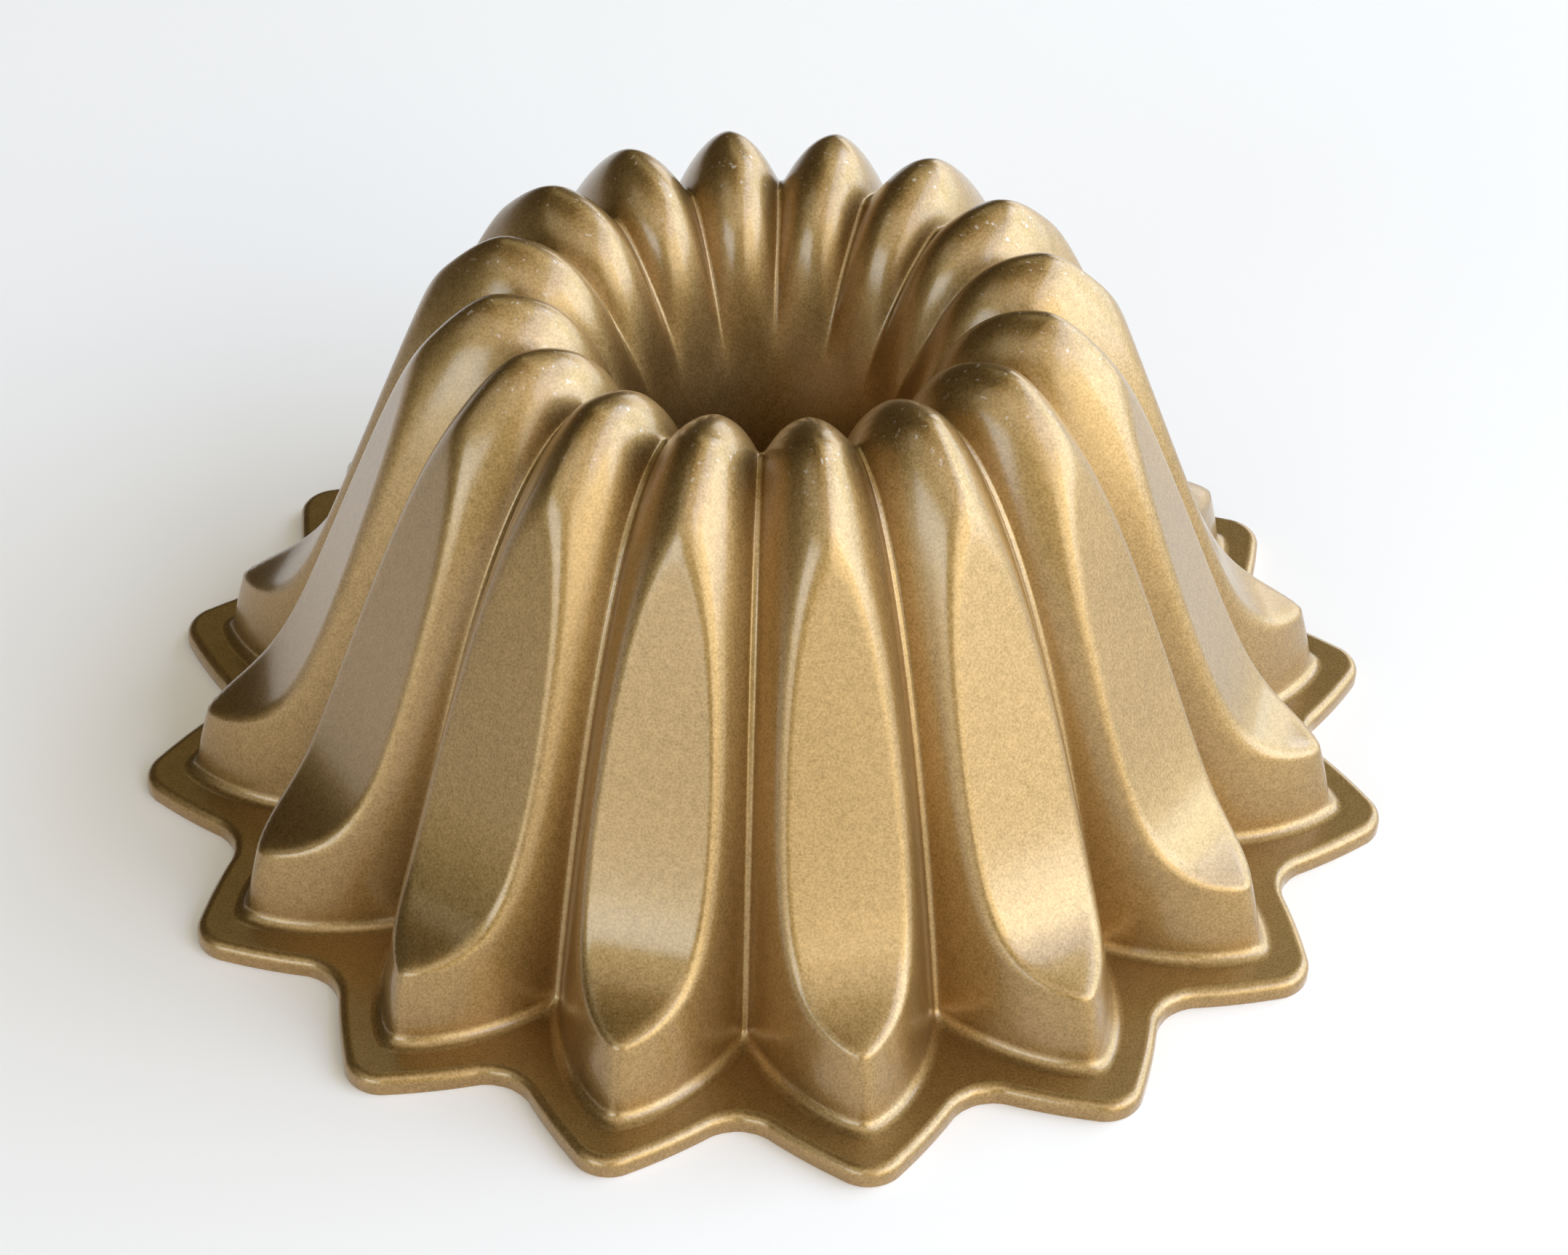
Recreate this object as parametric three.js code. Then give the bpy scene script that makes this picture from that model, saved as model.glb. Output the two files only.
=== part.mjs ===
// Fluted ring-cake mould in cast aluminium, standing upside down on its rim.
// Millimetres, +Z up. The origin is on the mould's axis, in the plane of the rim.
// One casting, divided at its own natural lines: a star-shaped rim flange, a ring of petals that
// meet at the valleys, and the fluted centre tube that starts at the crests.
import * as THREE from "three";

const PETALS = 16;
const WALL = 3;

// Rim flange: a flat star with rounded tips and rounded notches
const FLANGE_THICKNESS = 3.6;
const FLANGE_TIP_WIDTH = 11.4;
const FLANGE_NOTCH_WIDTH = 14.9;
const FLANGE_TIP_ROUND = 6.5;
const FLANGE_NOTCH_ROUND = 7.9;

// Ridge line of a petal, from its foot on the flange up to its crest
const FOOT_TIP_RADIUS = 99.1;
const RIDGE_LEAN = THREE.MathUtils.degToRad(9.25);
const RIDGE_RISE = 37.4;
const CREST_RADIUS = 44.3;
const CREST_HEIGHT = 94.6;
const CREST_BREADTH = 10.8;

// Valley line between two petals, a narrow groove from the flange up to the saddle
const VALLEY_FOOT_RADIUS = 79.1;
const VALLEY_LEAN = THREE.MathUtils.degToRad(12.9);
const VALLEY_RISE = 16.6;
const VALLEY_HALF_WIDTH = 0.45;
const SADDLE_INSET = 5.9;
const SADDLE_DEPTH = 7.2;
const SADDLE_BREADTH = 20.4;

// Section of a petal: an arch, pointed up to the facet's top and then rounder towards the crest
const ARCH_BULGE_AT_FOOT = 0.42;
const ARCH_BULGE_AT_CREST = 0.78;
const ARCH_ROUNDS_FROM = 0.45;
const RIDGE_ROUND_AT_FOOT = 0.08;
const RIDGE_ROUND_AT_CREST = 0.06;
const VALLEY_ROUND = 0.05;
const FUNNEL_FULLNESS = 0.8;
const FUNNEL_GROOVE_LOSS = 0.6;

// Facet: the long flat cut on each petal, which flares out to a point above the foot
const FACET_TIP_HEIGHT = 16.7;
const FACET_BASE_DEPTH = 15.8;
const FACET_TOP_DROP = 8.3;
const FACET_TOP_OUTSET = 12.4;
const FACET_FLARE_REACH = 6.8;
const FACET_EDGE_ROUND = 1.4;

// Funnel and tube in the centre
const THROAT_RADIUS = 20.7;
const THROAT_HEIGHT = 62;
const THROAT_LEAN = THREE.MathUtils.degToRad(20);
const FUNNEL_RIDGE_BREADTH = 16.8;
const FUNNEL_RIDGE_DROP = 14;
const FUNNEL_VALLEY_BREADTH = 3.1;
const FUNNEL_VALLEY_DROP = 15.8;
const TUBE_BEND = 16;
const TUBE_RUN = 25;
const TUBE_LIP_RADIUS = 12.7;
const TUBE_LIP_HEIGHT = 1.6;

// Places along the profile, and the rows and columns of points, as shares of the way between two of them
const PLACE = { foot: 0, crest: 1, throat: 2, lip: 3 };
const CLIMB_ROWS = [0, 0.06, 0.113, 0.125, 0.145, 0.18, 0.24, 0.34, 0.47, 0.6, 0.68, 0.737, 0.83, 0.92, 1];
const FUNNEL_ROWS = [0, 0.12, 0.28, 0.5, 0.75];
const TUBE_ROWS = [0, 0.4, 1];
const FLANK_COLUMNS = [0, 0.35, 0.7, 1];
const LEAST_FACET_SIDE = 0.17;
const HALVINGS = 30;
const ARC_STEPS = 4;
const PROBE = 1e-3;

const STEP = (2 * Math.PI) / PETALS;
const HALF_STEP = STEP / 2;
const { clamp, lerp, smoothstep } = THREE.MathUtils;

const COAT = new THREE.MeshStandardMaterial({ color: 0xa5834a, metalness: 0.9, roughness: 0.42 });

// Points of the profile, each a radius and a height
const ridgeFoot = new THREE.Vector2(FOOT_TIP_RADIUS, FLANGE_THICKNESS);
const valleyFoot = new THREE.Vector2(VALLEY_FOOT_RADIUS, FLANGE_THICKNESS);
const crest = new THREE.Vector2(CREST_RADIUS, CREST_HEIGHT);
const saddle = new THREE.Vector2(CREST_RADIUS - SADDLE_INSET, CREST_HEIGHT - SADDLE_DEPTH);
const throat = new THREE.Vector2(THROAT_RADIUS, THROAT_HEIGHT);
const lip = new THREE.Vector2(TUBE_LIP_RADIUS, TUBE_LIP_HEIGHT);
const throatSlant = new THREE.Vector2(Math.sin(THROAT_LEAN), Math.cos(THROAT_LEAN));

// Curve that climbs from the flange and levels out at the top.
function climb(foot, lean, rise, top, breadth) {
  const leaving = new THREE.Vector2(-Math.sin(lean), Math.cos(lean)).multiplyScalar(rise).add(foot);
  return new THREE.CubicBezierCurve(foot, leaving, new THREE.Vector2(top.x + breadth, top.y), top);
}

// Curve that turns over the top and drops into the throat.
function plunge(top, breadth, drop) {
  const arriving = throat.clone().addScaledVector(throatSlant, drop);
  return new THREE.CubicBezierCurve(top, new THREE.Vector2(top.x - breadth, top.y), arriving, throat);
}

// Curve of the tube, from the throat's slant to a straight run above the lip.
const tubeLine = new THREE.CubicBezierCurve(
  throat,
  throat.clone().addScaledVector(throatSlant, -TUBE_BEND),
  new THREE.Vector2(TUBE_LIP_RADIUS, TUBE_LIP_HEIGHT + TUBE_RUN),
  lip,
);
const ridgeLine = [
  climb(ridgeFoot, RIDGE_LEAN, RIDGE_RISE, crest, CREST_BREADTH),
  plunge(crest, FUNNEL_RIDGE_BREADTH, FUNNEL_RIDGE_DROP),
  tubeLine,
];
const valleyLine = [
  climb(valleyFoot, VALLEY_LEAN, VALLEY_RISE, saddle, SADDLE_BREADTH),
  plunge(saddle, FUNNEL_VALLEY_BREADTH, FUNNEL_VALLEY_DROP),
  tubeLine,
];

function pointAlong(line, place) {
  const index = Math.min(Math.floor(place), line.length - 1);
  return line[index].getPoint(place - index);
}

// Share from 0 to 1 whose slope starts level, so that a corner at 0 comes out round.
function eased(share, round) {
  const slack = round * (1 - share);
  return Math.hypot(share, slack) - slack;
}

// Side at which the flank ends and the floor of the groove begins.
function grooveSide(place) {
  const down = clamp(place - PLACE.crest, 0, 1);
  const halfWidth = VALLEY_HALF_WIDTH * (1 - FUNNEL_GROOVE_LOSS * down);
  return 1 - halfWidth / (pointAlong(valleyLine, place).x * HALF_STEP);
}

// Height of the arch across a petal: 1 on the ridge (side 0) and 0 in the valley (side 1 or -1).
function arch(side, place) {
  const toCrest = smoothstep(place, ARCH_ROUNDS_FROM, PLACE.crest);
  const ridgeRound = lerp(RIDGE_ROUND_AT_FOOT, RIDGE_ROUND_AT_CREST, toCrest);
  const bulge = lerp(ARCH_BULGE_AT_FOOT, ARCH_BULGE_AT_CREST, toCrest);
  const fullness = FUNNEL_FULLNESS * smoothstep(2 * (place - PLACE.crest), 0, 1);
  const across = eased(Math.min(Math.abs(side) / grooveSide(place), 1), ridgeRound);
  return eased(1 - across, VALLEY_ROUND) * (1 + bulge * across + fullness * across ** 2);
}

// Distance of the facet from the axis, measured along the petal's own axis.
function facetDistance(height) {
  const topHeight = CREST_HEIGHT - FACET_TOP_DROP;
  const topDistance = CREST_RADIUS + FACET_TOP_OUTSET;
  const baseDistance = FOOT_TIP_RADIUS - FACET_BASE_DEPTH;
  const slope = (baseDistance - topDistance) / (topHeight - FACET_TIP_HEIGHT);
  const ridgeAtTip = FOOT_TIP_RADIUS - Math.tan(RIDGE_LEAN) * (FACET_TIP_HEIGHT - FLANGE_THICKNESS);
  const flare = ridgeAtTip - baseDistance;
  const aboveTip = Math.max(height - FACET_TIP_HEIGHT, -FACET_FLARE_REACH / 2);
  return topDistance + slope * (topHeight - height) + flare / (1 + aboveTip / FACET_FLARE_REACH) ** 2;
}

// Lesser of two distances, with the corner between them rounded.
function roundedMin(a, b, round) {
  const share = clamp(0.5 + (b - a) / (2 * round), 0, 1);
  return lerp(b, a, share) - round * share * (1 - share);
}

// Point of the arched face before the facet is cut, with the petal's axis along +X.
function archedPoint(place, side) {
  const ridge = pointAlong(ridgeLine, place);
  const valley = pointAlong(valleyLine, place);
  const { x: radius, y: height } = valley.lerp(ridge, arch(side, place));
  const angle = side * HALF_STEP;
  return new THREE.Vector3(radius * Math.cos(angle), radius * Math.sin(angle), height);
}

// Point of the face that is seen from outside.
function outerPoint(place, side) {
  const point = archedPoint(place, side);
  if (place <= PLACE.crest) point.x = roundedMin(point.x, facetDistance(point.z), FACET_EDGE_ROUND);
  return point;
}

// Direction out of the metal. It stays in the valley's plane there, and is level at the foot and the lip.
function outwardAt(place, side) {
  const below = outerPoint(Math.max(place - PROBE, PLACE.foot), side);
  const above = outerPoint(Math.min(place + PROBE, PLACE.lip), side);
  const before = outerPoint(place, Math.max(side - PROBE, -1));
  const after = outerPoint(place, Math.min(side + PROBE, 1));
  const outward = after.sub(before).cross(above.sub(below));
  if (Math.abs(side) === 1) {
    const valleyPlane = new THREE.Vector3(-Math.sin(side * HALF_STEP), Math.cos(side * HALF_STEP), 0);
    outward.projectOnPlane(valleyPlane);
  }
  if (place === PLACE.foot || place === PLACE.lip) outward.z = 0;
  return outward.normalize();
}

// Point of the face that the cake touches, one wall inside the outer one.
function innerPoint(place, side) {
  return outerPoint(place, side).addScaledVector(outwardAt(place, side), -WALL);
}

// Side at which the facet's edge lies, found by halving. Where no facet is cut it is the least one.
function facetSide(place) {
  let inside = 0;
  let outside = grooveSide(place);
  for (let turn = 0; turn < HALVINGS && place < PLACE.crest; turn++) {
    const middle = (inside + outside) / 2;
    const point = archedPoint(place, middle);
    if (point.x > facetDistance(point.z)) inside = middle;
    else outside = middle;
  }
  return Math.max(inside, LEAST_FACET_SIDE);
}

// Sides of the columns in one row: the ridge, the facet's edges, the flanks and the groove.
function columnsAt(place) {
  const edge = facetSide(place);
  const half = [...FLANK_COLUMNS.map((share) => lerp(edge, grooveSide(place), share)), 1];
  return [...half.map((side) => -side).reverse(), 0, ...half];
}

// Closed solid between two grids of points: rows along the profile, columns around the axis.
// Each cell of the two faces is cut along its shorter diagonal, so that a petal's halves mirror.
function shell(outer, inner, goesRound) {
  const rows = outer.length;
  const columns = outer[0].length;
  const points = [...outer.flat(), ...inner.flat()];
  const triangles = [];
  const out = (row, column) => row * columns + (column % columns);
  const inn = (row, column) => rows * columns + out(row, column);
  const quad = (a, b, c, d) => triangles.push(a, b, c, a, c, d);
  const cell = (a, b, c, d) => {
    const cutsFromA = points[a].distanceTo(points[c]) <= points[b].distanceTo(points[d]);
    if (cutsFromA) quad(a, b, c, d);
    else quad(b, c, d, a);
  };
  const spans = goesRound ? columns : columns - 1;
  const last = rows - 1;
  for (let column = 0; column < spans; column++) {
    const next = column + 1;
    for (let row = 0; row < last; row++) {
      cell(out(row, column), out(row, next), out(row + 1, next), out(row + 1, column));
      cell(inn(row, column), inn(row + 1, column), inn(row + 1, next), inn(row, next));
    }
    quad(out(0, column), inn(0, column), inn(0, next), out(0, next));
    quad(out(last, column), out(last, next), inn(last, next), inn(last, column));
  }
  if (!goesRound) {
    const end = columns - 1;
    for (let row = 0; row < last; row++) {
      quad(out(row, 0), out(row + 1, 0), inn(row + 1, 0), inn(row, 0));
      quad(out(row, end), inn(row, end), inn(row + 1, end), out(row + 1, end));
    }
  }
  const geometry = new THREE.BufferGeometry().setFromPoints(points);
  geometry.setIndex(triangles);
  geometry.computeVertexNormals();
  return geometry;
}

// Angle of a petal's axis. A valley lies on +X.
function petalAngle(index) {
  return (index + 0.5) * STEP;
}

function petalGeometry() {
  const places = CLIMB_ROWS.map((share) => PLACE.foot + share);
  const grid = (pointAt) => places.map((place) => columnsAt(place).map((side) => pointAt(place, side)));
  return shell(grid(outerPoint), grid(innerPoint), false);
}

// One row of points right round the axis, each valley given once.
function ring(pointAt, place) {
  const points = [];
  for (let index = 0; index < PETALS; index++) {
    for (const side of columnsAt(place).slice(0, -1)) {
      points.push(pointAt(place, side).applyAxisAngle(new THREE.Vector3(0, 0, 1), petalAngle(index)));
    }
  }
  return points;
}

function centreTubeGeometry() {
  const places = [
    ...FUNNEL_ROWS.map((share) => PLACE.crest + share),
    ...TUBE_ROWS.map((share) => PLACE.throat + share),
  ];
  const grid = (pointAt) => places.map((place) => ring(pointAt, place));
  return shell(grid(outerPoint), grid(innerPoint), true);
}

// Star outline: straight edges between tips and notches, each corner rounded by an arc.
function flangeOutline() {
  const polar = (radius, angle) => new THREE.Vector2(radius * Math.cos(angle), radius * Math.sin(angle));
  const outline = new THREE.Shape();
  for (let corner = 0; corner < 2 * PETALS; corner++) {
    const isTip = corner % 2 === 1;
    const tipRadius = FOOT_TIP_RADIUS + FLANGE_TIP_WIDTH;
    const notchRadius = VALLEY_FOOT_RADIUS + FLANGE_NOTCH_WIDTH;
    const angle = corner * HALF_STEP;
    const vertex = polar(isTip ? tipRadius : notchRadius, angle);
    const edge = polar(isTip ? notchRadius : tipRadius, angle + HALF_STEP).sub(vertex);
    const axis = vertex.clone().multiplyScalar(isTip ? -1 : 1);
    const halfAngle = Math.abs(axis.angleTo(edge));
    const round = isTip ? FLANGE_TIP_ROUND : FLANGE_NOTCH_ROUND;
    const centre = vertex.clone().addScaledVector(axis.normalize(), round / Math.sin(halfAngle));
    const turn = Math.PI / 2 - halfAngle;
    const facing = isTip ? angle : angle + Math.PI;
    const sweep = isTip ? turn : -turn;
    outline.absarc(centre.x, centre.y, round, facing - sweep, facing + sweep, !isTip);
  }
  outline.closePath();
  return outline;
}

function rimFlangeGeometry() {
  const outline = flangeOutline();
  const mouth = ring(innerPoint, PLACE.foot).map((point) => new THREE.Vector2(point.x, point.y));
  outline.holes.push(new THREE.Path(mouth));
  const depth = FLANGE_THICKNESS;
  return new THREE.ExtrudeGeometry(outline, { depth, bevelEnabled: false, curveSegments: ARC_STEPS });
}

function named(name, geometry) {
  const mesh = new THREE.Mesh(geometry, COAT.clone());
  mesh.name = name;
  return mesh;
}

const mould = new THREE.Group();
mould.add(named("rim_flange", rimFlangeGeometry()));
mould.add(named("centre_tube", centreTubeGeometry()));

const petal = petalGeometry();
for (let index = 0; index < PETALS; index++) {
  const mesh = named(`petal_${String(index + 1).padStart(2, "0")}`, petal);
  mesh.rotation.z = petalAngle(index);
  mould.add(mesh);
}

export default mould;
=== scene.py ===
# %% [markdown]
# # A fluted ring-cake mould, cast in aluminium and coated in gold
# The mould stands upside down on its rim. It is one casting: a star-shaped flange, a ring of petals whose
# ridges climb to a crest, and a funnel that drops from the crests into an open tube. The solid model is
# loaded first and stays where it is. Everything made here is in metres, in the same frame, and takes the
# place of one of its solids.

import math

import bpy
import numpy as np
from mathutils import Matrix, Vector


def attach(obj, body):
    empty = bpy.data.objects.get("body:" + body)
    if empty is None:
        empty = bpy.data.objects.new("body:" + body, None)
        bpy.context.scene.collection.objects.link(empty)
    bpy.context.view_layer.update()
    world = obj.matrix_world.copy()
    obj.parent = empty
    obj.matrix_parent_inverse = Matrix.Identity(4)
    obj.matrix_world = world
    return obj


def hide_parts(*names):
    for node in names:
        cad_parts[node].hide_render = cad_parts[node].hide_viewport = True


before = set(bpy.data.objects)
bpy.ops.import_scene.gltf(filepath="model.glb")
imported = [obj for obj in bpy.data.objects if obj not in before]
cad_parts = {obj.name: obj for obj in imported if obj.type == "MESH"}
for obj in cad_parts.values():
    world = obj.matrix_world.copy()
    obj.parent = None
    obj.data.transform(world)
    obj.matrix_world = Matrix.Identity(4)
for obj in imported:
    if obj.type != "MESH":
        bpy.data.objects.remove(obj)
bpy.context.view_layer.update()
MM = 0.001

# %% [markdown]
# ## The camera
# A camera can be placed by hand or by numbers. The photograph gives numbers: the star of the rim and the
# crests fix where the lens stood, so it is set down by its place, the point that it looks at and a small
# roll. A long lens keeps the perspective as mild as it is in the photograph.

# %% Camera
CAMERA_PLACE = Vector((14.9, -441.16, 379.88)) * MM
CAMERA_AIM = Vector((2.95, 0.1, 23.11)) * MM
CAMERA_ROLL = math.radians(0.956)
CAMERA_LENS = 75.63
CAMERA_SENSOR = 36.0
CAMERA_NEAREST = 10 * MM

camera_data = bpy.data.cameras.new("camera")
camera_data.lens = CAMERA_LENS
camera_data.sensor_width = CAMERA_SENSOR
camera_data.clip_start = CAMERA_NEAREST
camera = bpy.data.objects.new("camera", camera_data)
bpy.context.scene.collection.objects.link(camera)
gaze = (CAMERA_AIM - CAMERA_PLACE).to_track_quat("-Z", "Y")
camera.matrix_world = (
    Matrix.Translation(CAMERA_PLACE) @ gaze.to_matrix().to_4x4() @ Matrix.Rotation(CAMERA_ROLL, 4, "Z")
)
bpy.context.scene.camera = camera
print("camera stands", round((CAMERA_AIM - CAMERA_PLACE).length, 3), "m from its aim")

# %% [markdown]
# ## The sizes
# All sizes of the wall are written once, in millimetres, degrees and plain shares. Each becomes a named
# input of a Geometry Nodes tree, so a size can be changed in the modifier without touching the tree.

# %% Sizes
PETALS = 16
STEP = 2 * math.pi / PETALS
LENGTHS = {
    "Wall": 3.0,
    "Flange thickness": 3.6,
    "Foot fillet": 1.9,
    "Foot tip radius": 99.1,
    "Ridge rise": 37.4,
    "Crest radius": 44.3,
    "Crest height": 94.6,
    "Crest breadth": 10.8,
    "Valley foot radius": 79.1,
    "Valley floor": 0.3,
    "Valley rise": 16.6,
    "Saddle inset": 5.9,
    "Saddle depth": 7.2,
    "Saddle breadth": 20.4,
    "Facet tip height": 16.7,
    "Facet base depth": 15.8,
    "Facet top drop": 8.3,
    "Facet top outset": 12.4,
    "Facet flare reach": 6.8,
    "Facet edge round at foot": 3.2,
    "Facet edge round at top": 1.4,
    "Throat radius": 20.7,
    "Throat height": 62.0,
    "Funnel ridge breadth": 16.8,
    "Funnel ridge drop": 14.0,
    "Funnel valley breadth": 3.1,
    "Funnel valley drop": 15.8,
    "Tube bend": 16.0,
    "Tube run": 25.0,
    "Tube lip radius": 12.7,
    "Tube lip height": 1.6,
}
ANGLES = {"Ridge lean": 9.25, "Valley lean": 12.9, "Throat lean": 20.0}
SHARES = {
    "Arch bulge at foot": 0.42,
    "Arch bulge at crest": 0.78,
    "Funnel fullness": 0.8,
    "Ridge round at foot": 0.07,
    "Ridge round at crest": 0.06,
    "Valley round": 0.03,
    "Row ease": 0.2,
}
SIZES = {name: length * MM for name, length in LENGTHS.items()}
SIZES.update({name: math.radians(angle) for name, angle in ANGLES.items()})
SIZES.update(SHARES)
print("sizes:", len(SIZES))

# %% [markdown]
# ## Wiring nodes
# The finish and the shape of the casting are both made by nodes. They can be wired by hand in the editor,
# but a script keeps every link in one readable place. One helper feeds a socket, from another socket or
# with a plain value, and one adds a node and feeds its inputs by name.

# %% Node helpers
def plug(tree, value, slot):
    """Feeds a slot from a field or another socket, or sets it to a plain value."""
    if isinstance(value, Field):
        tree.links.new(value.socket, slot)
    elif isinstance(value, bpy.types.NodeSocket):
        tree.links.new(value, slot)
    else:
        slot.default_value = value


def add_node(tree, kind, settings=None, **inputs):
    """Adds a node, sets what it is set to, and feeds its inputs by name with spaces as underscores."""
    node = tree.nodes.new(kind)
    for name, value in (settings or {}).items():
        setattr(node, name, value)
    for name, value in inputs.items():
        plug(tree, value, node.inputs[name.replace("_", " ")])
    return node


print("node helpers ready")

# %% [markdown]
# ## Arithmetic with nodes
# The wall follows a rule, and a rule is arithmetic. Placing each Math node by hand would bury the rule,
# so a small class stands for one number per point: adding or multiplying two of them adds the node that
# does it.

# %% Number fields
class Field:
    """A number that differs from point to point. Arithmetic on it adds Math nodes to its tree."""

    def __init__(self, tree, socket):
        self.tree = tree
        self.socket = socket

    def math(self, operation, *values):
        node = add_node(self.tree, "ShaderNodeMath", {"operation": operation})
        for slot, value in zip(node.inputs, values):
            plug(self.tree, value, slot)
        return Field(self.tree, node.outputs["Value"])

    def __add__(self, other):
        return self.math("ADD", self, other)

    def __radd__(self, other):
        return self.math("ADD", other, self)

    def __sub__(self, other):
        return self.math("SUBTRACT", self, other)

    def __rsub__(self, other):
        return self.math("SUBTRACT", other, self)

    def __mul__(self, other):
        return self.math("MULTIPLY", self, other)

    def __rmul__(self, other):
        return self.math("MULTIPLY", other, self)

    def __truediv__(self, other):
        return self.math("DIVIDE", self, other)

    def __abs__(self):
        return self.math("ABSOLUTE", self)

    def sin(self):
        return self.math("SINE", self)

    def cos(self):
        return self.math("COSINE", self)

    def root(self):
        return self.math("SQRT", self)

    def least(self, other):
        return self.math("MINIMUM", self, other)

    def most(self, other):
        return self.math("MAXIMUM", self, other)

    def above(self, other):
        return self.math("GREATER_THAN", self, other)

    def floor(self):
        return self.math("FLOOR", self)

    def share(self):
        return self.most(0.0).least(1.0)


print("number fields ready")

# %% [markdown]
# ## Shares and curves
# A casting is all easy curves and rounded corners. Blender has curve objects and bevels for them, but a
# wall that is worked out point by point needs them as arithmetic: going a share of the way between two
# numbers, rising without a corner, rounding a corner off, and following a curve drawn by four points.

# %% Shares and curves
def mix(start, end, share):
    """Goes a share of the way from one number to another."""
    return start + (end - start) * share


def smooth(value):
    """Rises from 0 to 1 without a corner at either end."""
    share = value.share()
    return share * share * (3.0 - 2.0 * share)


def eased(share, rounding):
    """A share whose slope starts level, so that a corner at 0 comes out round."""
    slack = rounding * (1.0 - share)
    return (share * share + slack * slack).root() - slack


def rounded_least(first, second, rounding):
    """The lesser of two numbers, with the corner rounded where they change places."""
    share = (0.5 + (second - first) / (2.0 * rounding)).share()
    return mix(second, first, share) - rounding * share * (1.0 - share)


def bezier(share, points):
    """The two coordinates of a cubic curve, a share of the way along it."""
    rest = 1.0 - share
    weights = (
        rest * rest * rest, 3.0 * rest * rest * share, 3.0 * rest * share * share, share * share * share
    )

    def coordinate(axis):
        start, *others = (weight * point[axis] for weight, point in zip(weights, points))
        return sum(others, start)

    return coordinate(0), coordinate(1)


print("shares and curves ready")

# %% [markdown]
# ## The profile of a ridge or a valley
# Cut upright through a ridge, the mould shows one line: from the foot up to the crest, over into the
# funnel and down the tube to its lip. A cut through a valley shows a lower line of the same kind. They
# could be traced as curve objects, but then the wall between them would have to be bridged by hand. So
# each line is three chained curves, and a place on it is counted as 0 at the foot, 1 at the crest, 2 at
# the throat and 3 at the lip.

# %% Profile
CREST, THROAT, LIP = 1.0, 2.0, 3.0


def profile(size, place, foot, lean, rise, top, breadth, funnel_breadth, funnel_drop):
    """Radius and height along one profile: up to the crest, over into the throat, down to the lip."""
    throat = (size["Throat radius"], size["Throat height"])
    lip = (size["Tube lip radius"], size["Tube lip height"])
    slant = (size["Throat lean"].sin(), size["Throat lean"].cos())
    leaving = (foot[0] - rise * lean.sin(), foot[1] + rise * lean.cos())
    arriving = tuple(throat[k] + funnel_drop * slant[k] for k in (0, 1))
    bending = tuple(throat[k] - size["Tube bend"] * slant[k] for k in (0, 1))
    climb = bezier(place.share(), (foot, leaving, (top[0] + breadth, top[1]), top))
    plunge = bezier((place - CREST).share(), (top, (top[0] - funnel_breadth, top[1]), arriving, throat))
    tube = bezier((place - THROAT).share(), (throat, bending, (lip[0], lip[1] + size["Tube run"]), lip))
    return tuple(climb[k] + (plunge[k] - top[k]) + (tube[k] - throat[k]) for k in (0, 1))


print("profile ready")

# %% [markdown]
# ## The facet
# The front of each petal is cut by a leaf-shaped facet, nearly flat, that flares out to a point above the
# foot. A boolean cut would leave a sharp edge and long thin faces. Here the facet is a distance from the
# axis at each height, and the wall takes the lesser of its own distance and the facet's.

# %% Facet
FLARE_DEPTH = 0.5


def facet_distance(size, height):
    """How far the facet lies from the axis at a height. Below its tip the flare soon stops growing."""
    tip = size["Facet tip height"]
    top_height = size["Crest height"] - size["Facet top drop"]
    top = size["Crest radius"] + size["Facet top outset"]
    bottom = size["Foot tip radius"] - size["Facet base depth"]
    slope = (bottom - top) / (top_height - tip)
    lean = size["Ridge lean"]
    ridge_at_tip = size["Foot tip radius"] - lean.sin() / lean.cos() * (tip - size["Flange thickness"])
    reach = size["Facet flare reach"]
    above = (height - tip).most(reach * -FLARE_DEPTH)
    flare = 1.0 + above / reach
    return top + slope * (top_height - height) + (ridge_at_tip - bottom) / (flare * flare)


print("facet ready")

# %% [markdown]
# ## The rule of the wall
# A point of the wall is named by its place along the profile and its side across a petal, 0 on the ridge
# and 1 in the valley. A lofted surface would need many cuts to hold this shape, so an arch carries the
# wall from the valley's line to the ridge's. Low down it is rather flat, and from about half-way up it
# grows rounder towards the crest. The facet's edge is rounder at the foot than at the top, as on the
# casting.

# %% Rule of the wall
CREST_BLEND = 0.45
FUNNEL_GROOVE = 0.6


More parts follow.
